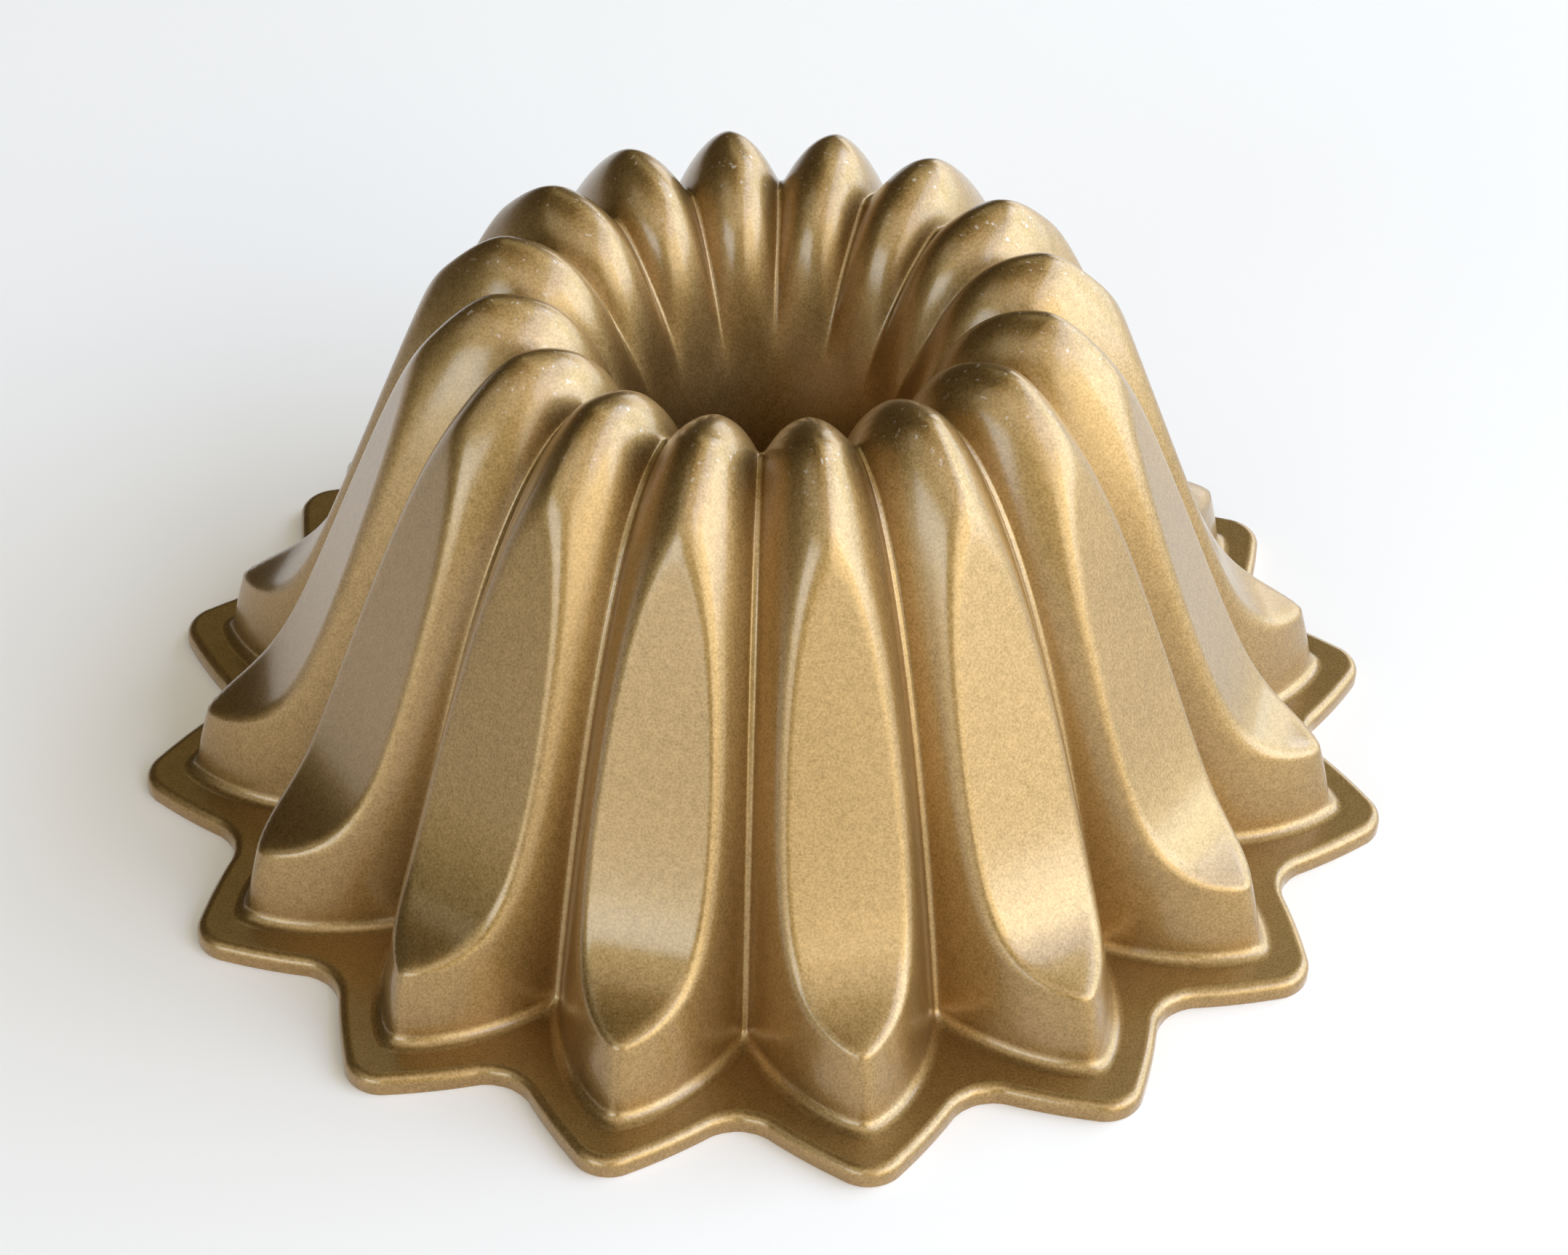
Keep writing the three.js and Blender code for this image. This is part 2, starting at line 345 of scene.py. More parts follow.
def wall_point(size, place, side):
    """Distance along the petal's axis, distance across it, and height, for a side from -1 to 1."""
    crest = (size["Crest radius"], size["Crest height"])
    saddle = (crest[0] - size["Saddle inset"], crest[1] - size["Saddle depth"])
    base = size["Flange thickness"]
    ridge = profile(
        size, place, (size["Foot tip radius"], base), size["Ridge lean"], size["Ridge rise"], crest,
        size["Crest breadth"], size["Funnel ridge breadth"], size["Funnel ridge drop"],
    )
    valley = profile(
        size, place, (size["Valley foot radius"], base), size["Valley lean"], size["Valley rise"], saddle,
        size["Saddle breadth"], size["Funnel valley breadth"], size["Funnel valley drop"],
    )
    to_crest = smooth((place - CREST_BLEND) / (CREST - CREST_BLEND))
    down = (place - CREST).share()
    fullness = size["Funnel fullness"] * smooth(2.0 * down)
    ridge_round = mix(size["Ridge round at foot"], size["Ridge round at crest"], to_crest)
    bulge = mix(size["Arch bulge at foot"], size["Arch bulge at crest"], to_crest)
    floor = size["Valley floor"] * (1.0 - FUNNEL_GROOVE * down) / (valley[0] * (STEP / 2))
    across = eased((abs(side) / (1.0 - floor)).least(1.0), ridge_round)
    arch = eased(1.0 - across, size["Valley round"]) * (1.0 + bulge * across + fullness * across * across)
    radius = mix(valley[0], ridge[0], arch)
    height = mix(valley[1], ridge[1], arch)
    angle = side * (STEP / 2)
    edge_round = mix(size["Facet edge round at foot"], size["Facet edge round at top"], place.share())
    along = rounded_least(radius * angle.cos(), facet_distance(size, height), edge_round)
    return along, radius * angle.sin(), height


print("rule of the wall ready")

# %% [markdown]
# ## Tools for Geometry Nodes
# Every tree here needs the same few steps: named inputs, vectors taken apart and put together, points
# moved and welded, and a value stored on the points, where a later node finds it by name. Node groups
# could hold these steps, but functions keep them in plain sight.

# %% Tree tools
WELD = 2e-6


def new_tree(name, inputs, takes_mesh=False):
    """An empty tree with named inputs, a geometry output and the two nodes that stand for them."""
    tree = bpy.data.node_groups.new(name, "GeometryNodeTree")
    kinds = {float: "NodeSocketFloat", int: "NodeSocketInt"}
    if takes_mesh:
        tree.interface.new_socket("Geometry", in_out="INPUT", socket_type="NodeSocketGeometry")
    for label, value in inputs.items():
        kind = "NodeSocketMaterial" if isinstance(value, bpy.types.Material) else kinds[type(value)]
        tree.interface.new_socket(label, in_out="INPUT", socket_type=kind).default_value = value
    tree.interface.new_socket("Geometry", in_out="OUTPUT", socket_type="NodeSocketGeometry")
    given = tree.nodes.new("NodeGroupInput").outputs
    return tree, given, tree.nodes.new("NodeGroupOutput").inputs["Geometry"]


def xyz(tree, vector):
    parts = add_node(tree, "ShaderNodeSeparateXYZ", Vector=vector).outputs
    return tuple(Field(tree, part) for part in parts)


def joined_xyz(tree, x, y, z):
    return add_node(tree, "ShaderNodeCombineXYZ", X=x, Y=y, Z=z).outputs["Vector"]


def position(tree):
    return tree.nodes.new("GeometryNodeInputPosition").outputs["Position"]


def moved(tree, geometry, **inputs):
    return add_node(tree, "GeometryNodeSetPosition", Geometry=geometry, **inputs).outputs["Geometry"]


def welded(tree, geometry):
    return add_node(tree, "GeometryNodeMergeByDistance", Geometry=geometry, Distance=WELD).outputs["Geometry"]


def store(tree, geometry, name, value, domain="POINT", data_type="FLOAT_VECTOR", selection=True):
    node = add_node(tree, "GeometryNodeStoreNamedAttribute", {"domain": domain, "data_type": data_type})
    for slot, fed in (("Geometry", geometry), ("Name", name), ("Value", value), ("Selection", selection)):
        plug(tree, fed, node.inputs[slot])
    return node.outputs["Geometry"]


def named(tree, name, data_type="FLOAT_VECTOR"):
    node = add_node(tree, "GeometryNodeInputNamedAttribute", {"data_type": data_type}, Name=name)
    return node.outputs["Attribute"]


print("tree tools ready")

# %% [markdown]
# ## From a tree to a plain mesh
# A tree ends by making its copies real and setting a material, so that nothing is lost when the model is
# exported. An input of a modifier is set by its identifier, not its name. The result could stay live, but
# a plain mesh is safer to hand on, so it is kept without the modifier.

# %% Ending and running a tree
def realized(tree, geometry):
    return add_node(tree, "GeometryNodeRealizeInstances", Geometry=geometry).outputs["Geometry"]


def finished(tree, geometry, material, selection=True):
    node = add_node(tree, "GeometryNodeSetMaterial", Geometry=geometry, Material=material)
    plug(tree, selection, node.inputs["Selection"])
    return node.outputs["Geometry"]


def from_tree(name, tree, inputs, start=None):
    """Runs a tree on an empty mesh, or on a start mesh, and keeps the result as a plain mesh."""
    piece = bpy.data.objects.new(name, start or bpy.data.meshes.new(name))
    bpy.context.scene.collection.objects.link(piece)
    modifier = piece.modifiers.new(tree.name, "NODES")
    modifier.node_group = tree
    for item in tree.interface.items_tree:
        if item.in_out == "INPUT" and item.name in inputs:
            modifier[item.identifier] = inputs[item.name]
    evaluated = piece.evaluated_get(bpy.context.evaluated_depsgraph_get())
    mesh = bpy.data.meshes.new_from_object(evaluated)
    piece.modifiers.remove(modifier)
    piece.data = mesh
    mesh.name = name
    return piece


print("tree runner ready")

# %% [markdown]
# ## The sheet of the wall
# The outer face of the casting starts as a flat grid. Each of its points is given a place and a side, and
# moves to where the rule puts it. Columns crowd towards the valleys and rows towards a petal's foot,
# where the shape turns most. The place is stored on the points, because once they have moved the grid can
# no longer tell it.

# %% Sheet of the wall
PIECE_INPUTS = {"First petal": 0.0, "Petal count": 1.0, "Start place": 0.0, "End place": CREST}
GRID_INPUTS = {"Columns": 73, "Rows": 121}
COLUMN_CROWDING = 0.25
RULE = "rule"


def wall_sheet(tree, given, size):
    """The outer face, with the place and side of its points and their angle round the axis."""
    grid = add_node(tree, "GeometryNodeMeshGrid", Vertices_X=given["Columns"], Vertices_Y=given["Rows"])
    x, y, _ = xyz(tree, position(tree))
    round_about = (x + 0.5) * size["Petal count"]
    petal = round_about.floor()
    even_side = 2.0 * (round_about - petal) - 1.0
    side = even_side * (1.0 + COLUMN_CROWDING - COLUMN_CROWDING * even_side * even_side)
    upward = y + 0.5
    ease = size["Row ease"]
    upward = upward * (ease + (1.0 - ease) * upward)
    place = mix(size["Start place"], size["End place"], upward)
    axis = (petal + size["First petal"] + 0.5) * STEP
    sheet = store(tree, grid.outputs["Mesh"], RULE, joined_xyz(tree, place, side, axis))
    place, side, axis = xyz(tree, named(tree, RULE))
    along, over, height = wall_point(size, place, side)
    x = along * axis.cos() - over * axis.sin()
    y = along * axis.sin() + over * axis.cos()
    sheet = moved(tree, sheet, Position=joined_xyz(tree, x, y, height))
    return welded(tree, sheet), place, side, axis + side * (STEP / 2)


print("sheet of the wall ready")

# %% [markdown]
# ## The thickness of the wall
# The casting is about equally thick all over, so its inner face lies one wall inwards along the normals.
# A Solidify modifier does that too, but not knowing the neighbours it would leave a step between two
# pieces. Here the normal is held in the plane of the cut where a piece ends, so that the inner faces of
# neighbours meet as the outer ones do.

# %% Thickness of the wall
AT_END = 1e-4
SEAM = 0.999
INNER, INNER_NORMAL = "inner", "inner_normal"


def cuts(place, side):
    """Tells where a point lies on the edge of a piece: 1 there, and 0 elsewhere."""
    return {
        "foot": 1.0 - place.above(AT_END),
        "crest": 1.0 - abs(place - CREST).above(AT_END),
        "lip": place.above(LIP - AT_END),
        "valley": abs(side).above(SEAM),
    }


def held_normal(tree, turn, level, upright, in_valley):
    """The sheet's normal, with the part that would leave a cut's plane taken away at the cut."""
    x, y, z = xyz(tree, tree.nodes.new("GeometryNodeInputNormal").outputs["Normal"])
    outward = (x * turn.cos() + y * turn.sin()) * (1.0 - upright)
    sideways = (y * turn.cos() - x * turn.sin()) * (1.0 - in_valley)
    z = z * (1.0 - level)
    length = (outward * outward + sideways * sideways + z * z).root()
    outward, sideways, z = outward / length, sideways / length, z / length
    return outward * turn.cos() - sideways * turn.sin(), outward * turn.sin() + sideways * turn.cos(), z


def with_inner_face(tree, size, sheet, place, turn, cut):
    """Stores on each point where the inner face lies and which way it faces, clear of the flange."""
    normal = held_normal(tree, turn, cut["foot"].most(cut["lip"]), cut["crest"], cut["valley"])
    x, y, z = xyz(tree, position(tree))
    wall = size["Wall"]
    lowest = size["Flange thickness"] * (1.0 - place.above(CREST))
    inner = joined_xyz(tree, x - normal[0] * wall, y - normal[1] * wall, (z - normal[2] * wall).most(lowest))
    sheet = store(tree, sheet, INNER, inner)
    return store(tree, sheet, INNER_NORMAL, joined_xyz(tree, *(0.0 - part for part in normal)))


print("thickness of the wall ready")

# %% [markdown]
# ## The fillet at the foot
# Where two walls of a casting meet, the corner is filled, because metal flows badly round a sharp one. A
# bevel would need the petals and the flange in one mesh. Instead the foot of each petal moves outwards,
# more and more as it nears the flange, along a quarter of a circle that is stretched a little, most of
# all in the valleys.

# %% Fillet at the foot
FILLET_REACH = 1.2
FILLET_REACH_GAIN = 0.85
OUTER_NORMAL = "outer_normal"


def with_fillet(tree, size, sheet, place, side, turn, cut):
    """Sweeps the foot out onto the flange, and stores the normal that the outer face then shows."""
    z = xyz(tree, position(tree))[2]
    fillet = size["Foot fillet"]
    short = (fillet - (z - size["Flange thickness"])).most(0.0) * (1.0 - place.above(CREST))
    swept = fillet - (fillet * fillet - short * short).most(0.0).root()
    swept = swept * (FILLET_REACH + FILLET_REACH_GAIN * abs(side))
    sheet = moved(tree, sheet, Offset=joined_xyz(tree, swept * turn.cos(), swept * turn.sin(), 0.0))
    shown = held_normal(tree, turn, cut["lip"], cut["crest"].most(cut["foot"]), cut["valley"])
    return store(tree, sheet, OUTER_NORMAL, joined_xyz(tree, *shown))


print("fillet ready")

# %% [markdown]
# ## The wall as one tree
# Petals and funnel are parts of one wall, so one tree makes them all. It joins the outer face to an
# extruded copy, whose far side moves to the inner face, and welds the two into a closed shell. Each face
# carries a number that says which skin it belongs to, and so which coat it gets.

# %% Tree of the fluted wall
SKIN = "skin"
OUTER_SKIN, INNER_SKIN = 1, 2


def closed_shell(tree, sheet):
    """The outer skin, the inner one and the cut faces between them."""
    outer = store(tree, sheet, SKIN, OUTER_SKIN, "FACE", "INT")
    back = add_node(tree, "GeometryNodeFlipFaces", Mesh=sheet).outputs["Mesh"]
    extruded = add_node(
        tree, "GeometryNodeExtrudeMesh", {"mode": "FACES"}, Mesh=back, Offset_Scale=0.0, Individual=False
    ).outputs
    inside = moved(tree, extruded["Mesh"], Selection=extruded["Top"], Position=named(tree, INNER))
    inside = store(tree, inside, SKIN, INNER_SKIN, "FACE", "INT", extruded["Top"])
    both = tree.nodes.new("GeometryNodeJoinGeometry")
    for skin in (inside, outer):
        tree.links.new(skin, both.inputs["Geometry"])
    return welded(tree, both.outputs["Geometry"])


def fluted_wall_tree(outer_coat, inner_coat):
    coats = {"Coat": outer_coat, "Release coat": inner_coat}
    tree, given, output = new_tree("Fluted wall", {**PIECE_INPUTS, **GRID_INPUTS, **SIZES, **coats})
    size = {name: Field(tree, given[name]) for name in (*PIECE_INPUTS, *SIZES)}
    sheet, place, side, turn = wall_sheet(tree, given, size)
    cut = cuts(place, side)
    sheet = with_inner_face(tree, size, sheet, place, turn, cut)
    sheet = with_fillet(tree, size, sheet, place, side, turn, cut)
    shell = realized(tree, closed_shell(tree, sheet))
    coated = finished(tree, shell, given["Coat"])
    is_inside = Field(tree, named(tree, SKIN, "INT")).above(INNER_SKIN - 0.5)
    tree.links.new(finished(tree, coated, given["Release coat"], is_inside), output)
    return tree


print("tree of the wall ready")

# %% [markdown]
# ## Shading across the seams
# The petals and the funnel are one casting, so light has to run over their seams without a line. Blender
# works out normals for each object alone, and would show a crease. The tree stored the normals of the
# whole wall, so they are set as custom normals, and the cut faces between the skins stay flat.

# %% Shading of the wall
def attribute(mesh, name, kind, width):
    """The values that the tree stored on a mesh, as an array."""
    values = np.zeros(len(mesh.attributes[name].data) * width, np.float32 if kind != "value" else np.int32)
    mesh.attributes[name].data.foreach_get(kind, values)
    return values.reshape(-1, width) if width > 1 else values


def shade(mesh):
    """Smooth faces whose normals are those of the whole casting, so that no seam shows between pieces."""
    mesh.polygons.foreach_set("use_smooth", np.ones(len(mesh.polygons), bool))
    corner_vertex = np.zeros(len(mesh.loops), np.int32)
    mesh.loops.foreach_get("vertex_index", corner_vertex)
    corners = np.zeros(len(mesh.polygons), np.int32)
    mesh.polygons.foreach_get("loop_total", corners)
    skin = np.repeat(attribute(mesh, SKIN, "value", 1), corners)[:, None]
    outer = attribute(mesh, OUTER_NORMAL, "vector", 3)[corner_vertex]
    inner = attribute(mesh, INNER_NORMAL, "vector", 3)[corner_vertex]
    flat = np.zeros((len(mesh.polygons), 3), np.float32)
    mesh.polygons.foreach_get("normal", flat.reshape(-1))
    flat = np.repeat(flat, corners, axis=0)
    normals = np.where(skin == OUTER_SKIN, outer, np.where(skin == INNER_SKIN, inner, flat))
    mesh.normals_split_custom_set(normals)
    for name in (RULE, INNER, OUTER_NORMAL, INNER_NORMAL, SKIN):
        mesh.attributes.remove(mesh.attributes[name])


print("shading of the wall ready")

# %% [markdown]
# ## Noise for the coats
# A sprayed coat is never even. An image of one would repeat, and would need the surface laid out flat.
# Noise in space has no seam and fits any shape, so the coats are built from clouds of noise, stretched
# and mixed by these helpers.

# %% Noise for the coats
NOISE_DETAIL = 2.0


def noise(tree, place, feature):
    """A cloudy number about one half, with features of a given size."""
    cloud = add_node(tree, "ShaderNodeTexNoise", Vector=place, Scale=1 / feature, Detail=NOISE_DETAIL)
    return Field(tree, cloud.outputs["Fac"])


def spread(value, low, high):
    """Stretches the part of a number between two limits to the range 0 to 1."""
    return ((value - low) / (high - low)).share()


def blend(tree, share, first, second):
    """Goes a share of the way from one colour to another."""
    node = add_node(tree, "ShaderNodeMix", {"data_type": "RGBA"}, Factor=share)
    first_slot, second_slot = (slot for slot in node.inputs if slot.type == "RGBA")
    plug(tree, first, first_slot)
    plug(tree, second, second_slot)
    return next(slot for slot in node.outputs if slot.type == "RGBA")


print("noise ready")

# %% [markdown]
# ## The two coats
# Outside, the casting is sprayed with a lacquer full of metal flakes and baked. Seen closely it is not
# one colour: flakes that happen to lie flat are light, tilted ones are dark, and the film drifts from
# thin to thick over the width of a petal. So two colours are mixed by noise of three sizes: grain, mottle
# and drift. Grain and mottle also lift the surface by about a hundredth of a millimetre, which breaks up
# reflections into a satin sheen. Over the flakes lies clear resin. So there are two sheens: a broad
# golden one from the flakes, and a sharper, paler one from the resin, which the shader's Coat inputs
# give. In use the mould stands the other way up, on its crests, and the shelf has scuffed them: pale
# specks, kept to the top by height. The inside has a release coat, made in the same way but darker and
# smoother.

# %% Coats
GOLD = {"dark": (0.25, 0.148, 0.038, 1), "light": (0.51, 0.32, 0.12, 1), "roughness": 0.46}
RELEASE = {"dark": (0.16, 0.11, 0.055, 1), "light": (0.25, 0.175, 0.09, 1), "roughness": 0.34}
GRAIN_SIZE, MOTTLE_SIZE, DRIFT_SIZE = 0.4 * MM, 1.5 * MM, 26 * MM
GRAIN_SHARE, MOTTLE_SHARE, DRIFT_SHARE = 0.65, 0.2, 0.15
GRAIN_LIFT, MOTTLE_LIFT = 0.012 * MM, 0.012 * MM
GRAIN_DULLNESS, DRIFT_DULLNESS, SCUFF_DULLNESS = 0.12, 0.10, 0.2
CLOUD_RANGE = (0.3, 0.7)
SCUFF_SIZE = 1.1 * MM
SCUFF_START = 87 * MM
SCUFF_FADE = 6 * MM
SCUFF_RANGE = (0.66, 0.72)
SCUFF_STRENGTH = 0.6
SCUFF_COLOUR = (0.78, 0.70, 0.60, 1)
RESIN_ROUGHNESS = 0.19


def coat(name, dark, light, roughness, scuffed):
    """A flake lacquer between two colours, with grain in its colour, its gloss and its surface."""
    material = bpy.data.materials.new(name)
    material.use_nodes = True
    tree = material.node_tree
    shader = tree.nodes["Principled BSDF"]
    place = tree.nodes.new("ShaderNodeTexCoord").outputs["Object"]
    grain, mottle, drift = (noise(tree, place, size) for size in (GRAIN_SIZE, MOTTLE_SIZE, DRIFT_SIZE))
    flakes, patches, film = (spread(cloud, *CLOUD_RANGE) for cloud in (grain, mottle, drift))
    lightness = GRAIN_SHARE * flakes + MOTTLE_SHARE * patches + DRIFT_SHARE * film
    colour = blend(tree, lightness, dark, light)
    dullness = roughness + GRAIN_DULLNESS * (grain - 0.5) + DRIFT_DULLNESS * (drift - 0.5)
    if scuffed:
        height = xyz(tree, place)[2]
        specks = spread(noise(tree, place, SCUFF_SIZE), *SCUFF_RANGE)
        specks = SCUFF_STRENGTH * specks * spread(height, SCUFF_START, SCUFF_START + SCUFF_FADE)
        colour = blend(tree, specks, colour, SCUFF_COLOUR)
        dullness = dullness + SCUFF_DULLNESS * specks
    relief = GRAIN_LIFT * grain + MOTTLE_LIFT * mottle
    bump = add_node(tree, "ShaderNodeBump", Height=relief, Distance=1.0)
    tree.links.new(colour, shader.inputs["Base Color"])
    tree.links.new(dullness.socket, shader.inputs["Roughness"])
    for facing in ("Normal", "Coat Normal"):
        tree.links.new(bump.outputs["Normal"], shader.inputs[facing])
    shader.inputs["Metallic"].default_value = 1.0
    shader.inputs["Coat Weight"].default_value = 1.0
    shader.inputs["Coat Roughness"].default_value = RESIN_ROUGHNESS
    return material


gold_coat = coat("gold_coat", scuffed=True, **GOLD)
release_coat = coat("release_coat", scuffed=False, **RELEASE)
print("coats:", gold_coat.name, release_coat.name)

# %% [markdown]
# ## Sixteen petals and a funnel
# The outside of the mould is a ring of equal petals, and the inside a funnel that narrows to a tube. One
# petal could be modelled by hand and copied, but the funnel has to follow the same crests. So the one
# tree is run once for each petal, turned by a step, and once for the funnel, all round and from the
# crests to the lip.

# %% Petals and funnel
FUNNEL_COLUMNS_PER_PETAL = 28
FUNNEL_INPUTS = {
    "Petal count": float(PETALS),
    "Start place": CREST,
    "End place": LIP,
    "Columns": FUNNEL_COLUMNS_PER_PETAL * PETALS + 1,
    "Rows": 73,
    "Row ease": 0.6,
}

wall_tree = fluted_wall_tree(gold_coat, release_coat)
wall_pieces = {}
for index in range(PETALS):
    wall_pieces[f"petal_{index + 1:02d}"] = from_tree(
        f"gold_petal_{index + 1:02d}", wall_tree, {"First petal": float(index)}
    )
wall_pieces["centre_tube"] = from_tree("gold_funnel", wall_tree, FUNNEL_INPUTS)
faces_of_a_petal = len(wall_pieces["petal_01"].data.polygons)
print("wall pieces:", len(wall_pieces), "faces of one petal:", faces_of_a_petal)

# %% [markdown]
# ## The mouth of the mould
# Batter is poured in where the wall meets the rim, so the rim has to open exactly along the inner edge of
# the petals' feet. That edge could be worked out again, but it is safer to measure it on a finished
# petal. Then the stored values have done their work: the pieces get their shading, and each is put under
# the body that carries it, while the solid that it stands for is hidden.

# %% Mouth of the mould
def inner_foot(mesh):
    """The inner edge of a petal's foot, from valley to valley: angle and radius of each point."""
    points = np.array([vertex.co for vertex in mesh.vertices])
    place, side, axis = attribute(mesh, RULE, "vector", 3).T
    is_inner = np.linalg.norm(points - attribute(mesh, INNER, "vector", 3), axis=1) < WELD
    at_foot = np.flatnonzero(is_inner & (place < AT_END))
    edge = points[at_foot[np.argsort((axis + side * STEP / 2)[at_foot])]]
    turn = np.arctan2(edge[:, 1], edge[:, 0])
    ahead = np.append(True, turn[1:] > np.maximum.accumulate(turn)[:-1])
    return turn[ahead], np.hypot(edge[:, 0], edge[:, 1])[ahead]


def declare(piece, node):
    """Puts a finished piece under the body that carries it, and hides the solid that it stands for."""
    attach(piece, "root")
    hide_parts(node)


mouth_turn, mouth_radius = inner_foot(wall_pieces["petal_01"].data)
for node, piece in wall_pieces.items():
    shade(piece.data)
    declare(piece, node)
print("points along one petal's mouth:", len(mouth_turn))

# %% [markdown]
# ## The outline of the rim
# The mould stands on its rim, a flat star with a tip below each ridge and a notch below each valley. A
# casting has no sharp corner, so tips and notches are arcs. A curve object could draw the star, but the
# rim's points have to stand at the same angles as those of the mouth. So the outline is asked for its
# distance at each of these angles.

# %% Outline of the rim
TIP_RADIUS = 110.4 * MM
NOTCH_RADIUS = 93.9 * MM
TIP_ROUND = 6.5 * MM
NOTCH_ROUND = 7.9 * MM
ARC_STEPS = 60


def direction(angle):
    return np.stack((np.cos(angle), np.sin(angle)), axis=-1)


def rim_outline(turns):
    """Points of the star's edge at the given angles, with the way that the edge faces at each."""
    notch, tip = NOTCH_RADIUS * direction(0.0), TIP_RADIUS * direction(STEP / 2)
    along = tip - notch
    tilt = math.atan2(-along[0], along[1])
    hollow_centre = notch + direction(0.0) * NOTCH_ROUND / math.cos(tilt)
    tip_centre = tip - direction(STEP / 2) * TIP_ROUND / math.cos(STEP / 2 - tilt)
    facing = [np.linspace(0.0, tilt, ARC_STEPS), np.linspace(tilt, STEP / 2, ARC_STEPS)]
    points = [
        hollow_centre - NOTCH_ROUND * direction(facing[0]),
        tip_centre + TIP_ROUND * direction(facing[1]),
    ]
    facing, points = np.concatenate(facing), np.concatenate(points)
    angle = np.arctan2(points[:, 1], points[:, 0])
    mirrored = np.where(turns > STEP / 2, STEP - turns, turns)
    distance = np.interp(mirrored, angle, np.hypot(points[:, 0], points[:, 1]))
    faces = np.interp(mirrored, angle, facing)
    return distance[:, None] * direction(turns), np.where(turns > STEP / 2, STEP - faces, faces)


rim_edge, rim_facing = rim_outline(mouth_turn)
print("rim reaches out to", round(float(np.hypot(*rim_edge.T).max()), 4), "m")

# %% [markdown]
# ## One sector of the rim
# The rim is a plate with a well-rounded upper edge and a slightly eased lower one. A bevel modifier would
# pinch at the notches, so the edge is drawn as rings: the outline moves inwards and up while the edge
# turns. Only one sector is drawn, from valley to valley.

# %% One sector of the rim
UPPER_EDGE = 1.7 * MM
LOWER_EDGE = 0.4 * MM
EDGE_STEPS = 7
FLAT_MARGIN = 0.15 * MM


def edge_rings(thickness):
    """How far each ring of the edge lies inside the outline, and its height, from below to above."""
    quarter = np.linspace(0.0, math.pi / 2, EDGE_STEPS)
    rings = [(LOWER_EDGE + FLAT_MARGIN, 0.0)]
    rings += [(LOWER_EDGE * (1 - math.sin(a)), LOWER_EDGE * (1 - math.cos(a))) for a in quarter]
    rings += [(UPPER_EDGE * (1 - math.cos(a)), thickness - UPPER_EDGE * (1 - math.sin(a))) for a in quarter]
    return rings + [(UPPER_EDGE + FLAT_MARGIN, thickness)]


def rim_sector(turns, mouth, edge, facing):
    """Rings from the mouth's lower edge, out and round the rim's edge, back to the mouth's upper edge."""
    thickness = SIZES["Flange thickness"]
    count = len(turns)
    rings = edge_rings(thickness)
    level = [np.column_stack((edge - inset * direction(facing), np.full(count, z))) for inset, z in rings]
    flat = [np.column_stack((mouth[:, None] * direction(turns), np.full(count, z))) for z in (0.0, thickness)]
    lines = [flat[0], *level, flat[1], flat[0]]
    faces = [
        (row * count + k, row * count + k + 1, (row + 1) * count + k + 1, (row + 1) * count + k)
        for row in range(len(lines) - 1) for k in range(count - 1)
    ]
    mesh = bpy.data.meshes.new("rim_sector")
    mesh.from_pydata(np.concatenate(lines).tolist(), [], faces)
    return mesh


sector = rim_sector(mouth_turn, mouth_radius, rim_edge, rim_facing)
print("faces of one rim sector:", len(sector.polygons))

# %% [markdown]
# ## The rim all round
# All sectors of the star are alike, so a second tree puts a copy of the sector on each point of a ring
# and welds the copies. The round edges are shaded smooth, and bends sharper than a limit, at the mouth,
# stay crisp.

# %% Rim from sixteen sectors
SHARPEST_BEND = math.radians(35)


def ring_of_copies_tree(outer_coat):
    tree, given, output = new_tree("Ring of copies", {"Count": PETALS, "Coat": outer_coat}, takes_mesh=True)
    spots = add_node(tree, "GeometryNodePoints", Count=given["Count"]).outputs["Geometry"]
    turn = Field(tree, tree.nodes.new("GeometryNodeInputIndex").outputs["Index"]) * (2 * math.pi)
    turn = turn / Field(tree, given["Count"])
    copies = add_node(
        tree, "GeometryNodeInstanceOnPoints", Points=spots, Instance=given["Geometry"],
        Rotation=joined_xyz(tree, 0.0, 0.0, turn),
    ).outputs["Instances"]
    whole = welded(tree, realized(tree, copies))
    tree.links.new(finished(tree, whole, given["Coat"]), output)
    return tree


rim = from_tree("gold_rim", ring_of_copies_tree(gold_coat), {}, sector)
rim.data.polygons.foreach_set("use_smooth", np.ones(len(rim.data.polygons), bool))
rim.data.set_sharp_from_angle(angle=SHARPEST_BEND)
declare(rim, "rim_flange")
print("faces of the rim:", len(rim.data.polygons))

# %% [markdown]
# ## The floor
# The mould stands on pale paper. In a studio such a ground is lit from below or overexposed until it is
# nearly white, so the paper here glows a little. The glow is kept low, because the metal mirrors it.

# %% Floor
FLOOR_HALF = 6.0
PAPER = (0.93, 0.87, 0.78, 1)
PAPER_ROUGHNESS = 0.9
GLOW = (1.0, 0.99, 0.96, 1)
GLOW_STRENGTH = 0.06

floor_mesh = bpy.data.meshes.new("floor")
floor_corners = [(x * FLOOR_HALF, y * FLOOR_HALF, 0) for x, y in ((-1, -1), (1, -1), (1, 1), (-1, 1))]
floor_mesh.from_pydata(floor_corners, [], [(0, 1, 2, 3)])
floor = bpy.data.objects.new("floor", floor_mesh)
bpy.context.scene.collection.objects.link(floor)
paper = bpy.data.materials.new("paper")
paper.use_nodes = True
paper_shader = paper.node_tree.nodes["Principled BSDF"]
paper_shader.inputs["Base Color"].default_value = PAPER
paper_shader.inputs["Roughness"].default_value = PAPER_ROUGHNESS
paper_shader.inputs["Emission Color"].default_value = GLOW
paper_shader.inputs["Emission Strength"].default_value = GLOW_STRENGTH
floor_mesh.materials.append(paper)
print("floor:", 2 * FLOOR_HALF, "m wide")

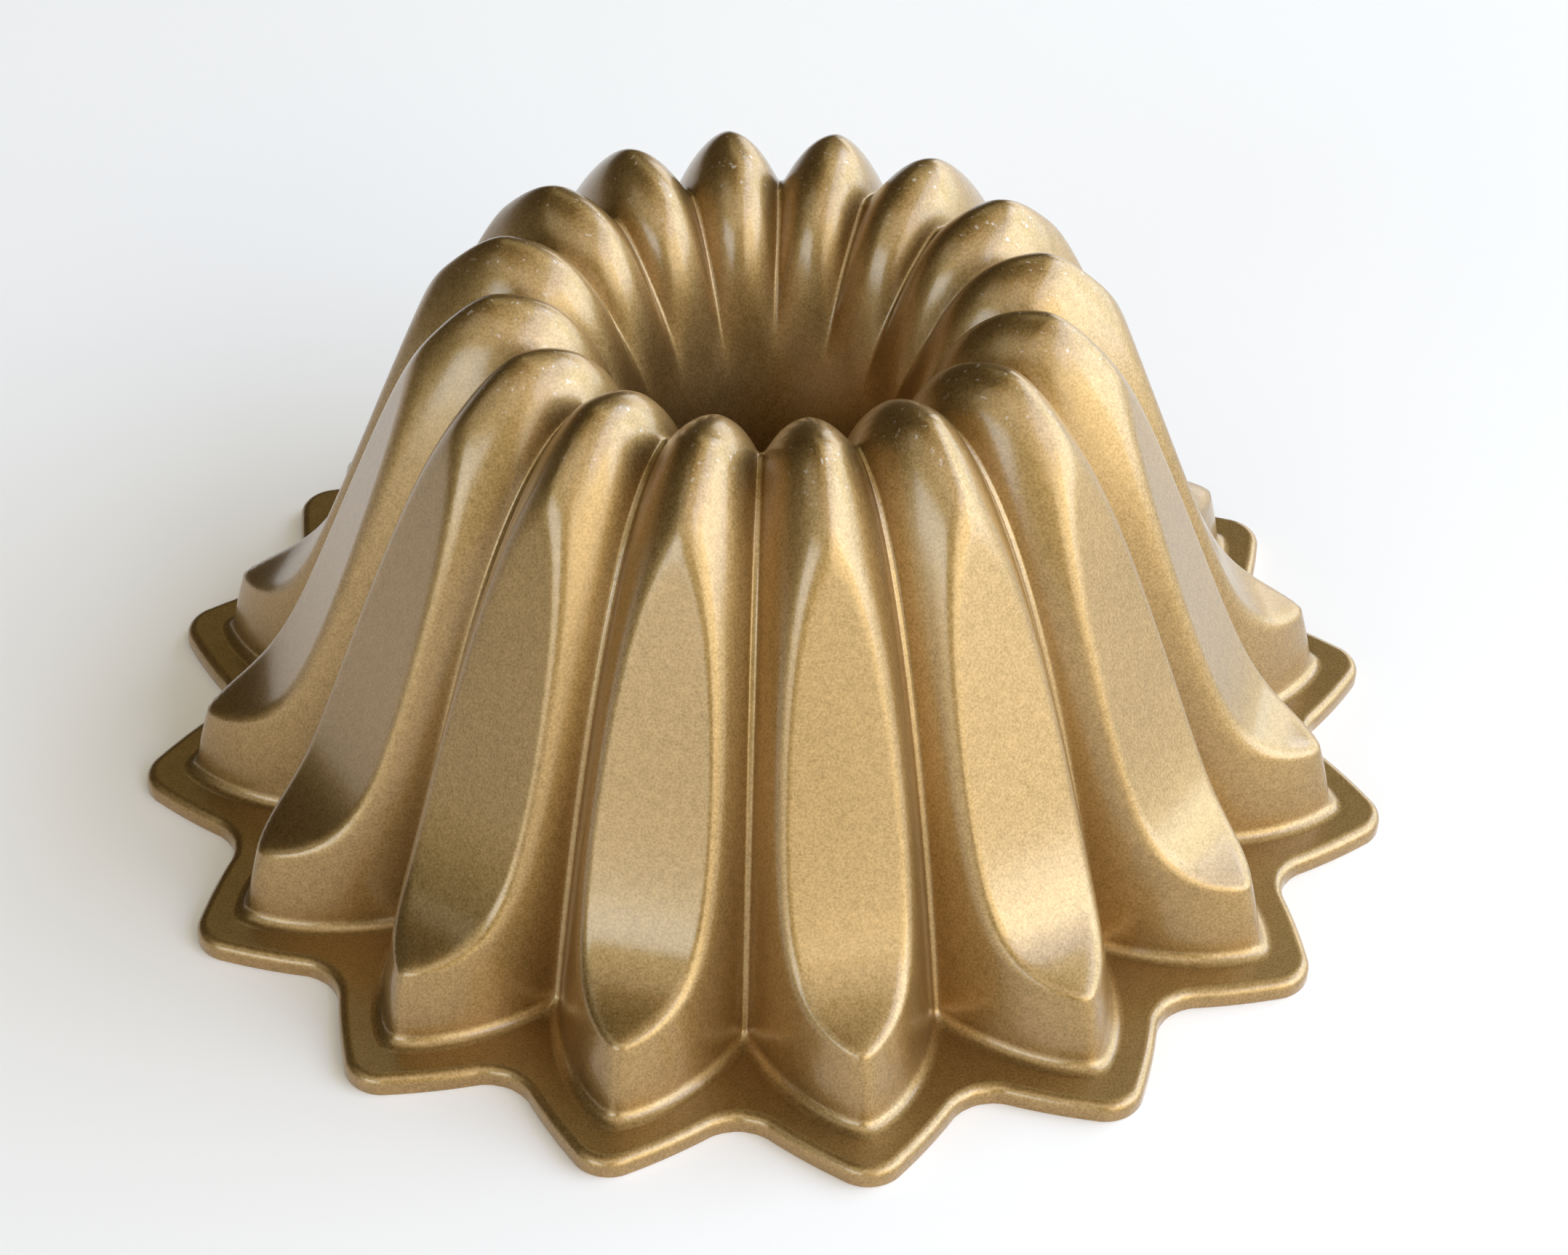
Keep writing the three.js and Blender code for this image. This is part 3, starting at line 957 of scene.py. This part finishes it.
# %% [markdown]
# ## The light
# Metal has little colour of its own: it shows what stands round it. So the light is laid out as things to
# be mirrored. A row of large soft boxes on the right gives the broad sheen, a smaller one on the left
# lights the facets that turn away from it, and the rest of the room stays dim. Each box is given by the
# angles that it spans and by its brightness as the metal sees it, so moving one does not change how
# bright it looks. They stand three metres away, because the floor behind a box gets no light from it.

# %% Soft boxes
AIM = Vector((0, 0, 50)) * MM
BOX_DISTANCE = 3.0
# Azimuth from the camera's side to the right, elevation, width and height in degrees; then radiance
SOFT_BOXES = {
    "left window": (-30, 18, 34, 18, (3.0, 3.7, 4.7)),
    "left low": (-27, 5, 34, 9, (2.1, 2.2, 2.3)),
    "front right": (37, 15, 40, 30, (3.1, 3.1, 2.7)),
    "right": (75, 19, 40, 36, (3.3, 4.0, 5.2)),
    "back right": (115, 19, 40, 36, (2.4, 2.9, 3.4)),
    "behind right": (150, 12, 30, 22, (2.3, 2.4, 2.4)),
    "upper right": (85, 47, 90, 18, (1.8, 2.3, 3.8)),
    "upper left": (-35, 48, 60, 24, (0.8, 0.8, 0.7)),
    "upper front": (17, 46, 44, 30, (0.8, 0.8, 0.8)),
    "overhead": (60, 74, 60, 24, (0.7, 0.6, 0.4)),
    "behind high": (150, 60, 60, 30, (0.6, 0.6, 0.4)),
}


def soft_box(name, azimuth, elevation, wide, high, radiance):
    """A rectangle of light that faces the mould, spans the given angles and is as bright as asked."""
    lamp = bpy.data.lights.new(name, "AREA")
    lamp.shape = "RECTANGLE"
    lamp.size, lamp.size_y = (2 * BOX_DISTANCE * math.tan(math.radians(span / 2)) for span in (wide, high))
    strongest = max(radiance)
    lamp.color = [part / strongest for part in radiance]
    lamp.energy = strongest * math.pi * lamp.size * lamp.size_y
    turn, tilt = math.radians(azimuth), math.radians(elevation)
    towards = Vector((math.sin(turn) * math.cos(tilt), -math.cos(turn) * math.cos(tilt), math.sin(tilt)))
    box = bpy.data.objects.new(name, lamp)
    box.location = AIM + BOX_DISTANCE * towards
    box.rotation_euler = (-towards).to_track_quat("-Z", "Y").to_euler()
    box.visible_camera = False
    bpy.context.scene.collection.objects.link(box)
    return box


soft_boxes = [soft_box(name, *values) for name, values in SOFT_BOXES.items()]
print("soft boxes:", len(soft_boxes))

# %% [markdown]
# ## The room
# Whatever no soft box lights up, the metal mirrors as the dim, warm room. It is one even colour, so that
# it adds nothing to be recognised in a reflection. Colours are shown as they are, without a film look.

# %% Room
ROOM = (0.06, 0.046, 0.026, 1)

room = bpy.data.worlds.new("room")
room.use_nodes = True
room.node_tree.nodes["Background"].inputs["Color"].default_value = ROOM
bpy.context.scene.world = room
bpy.context.scene.view_settings.view_transform = "Standard"
print("room:", ROOM[:3])
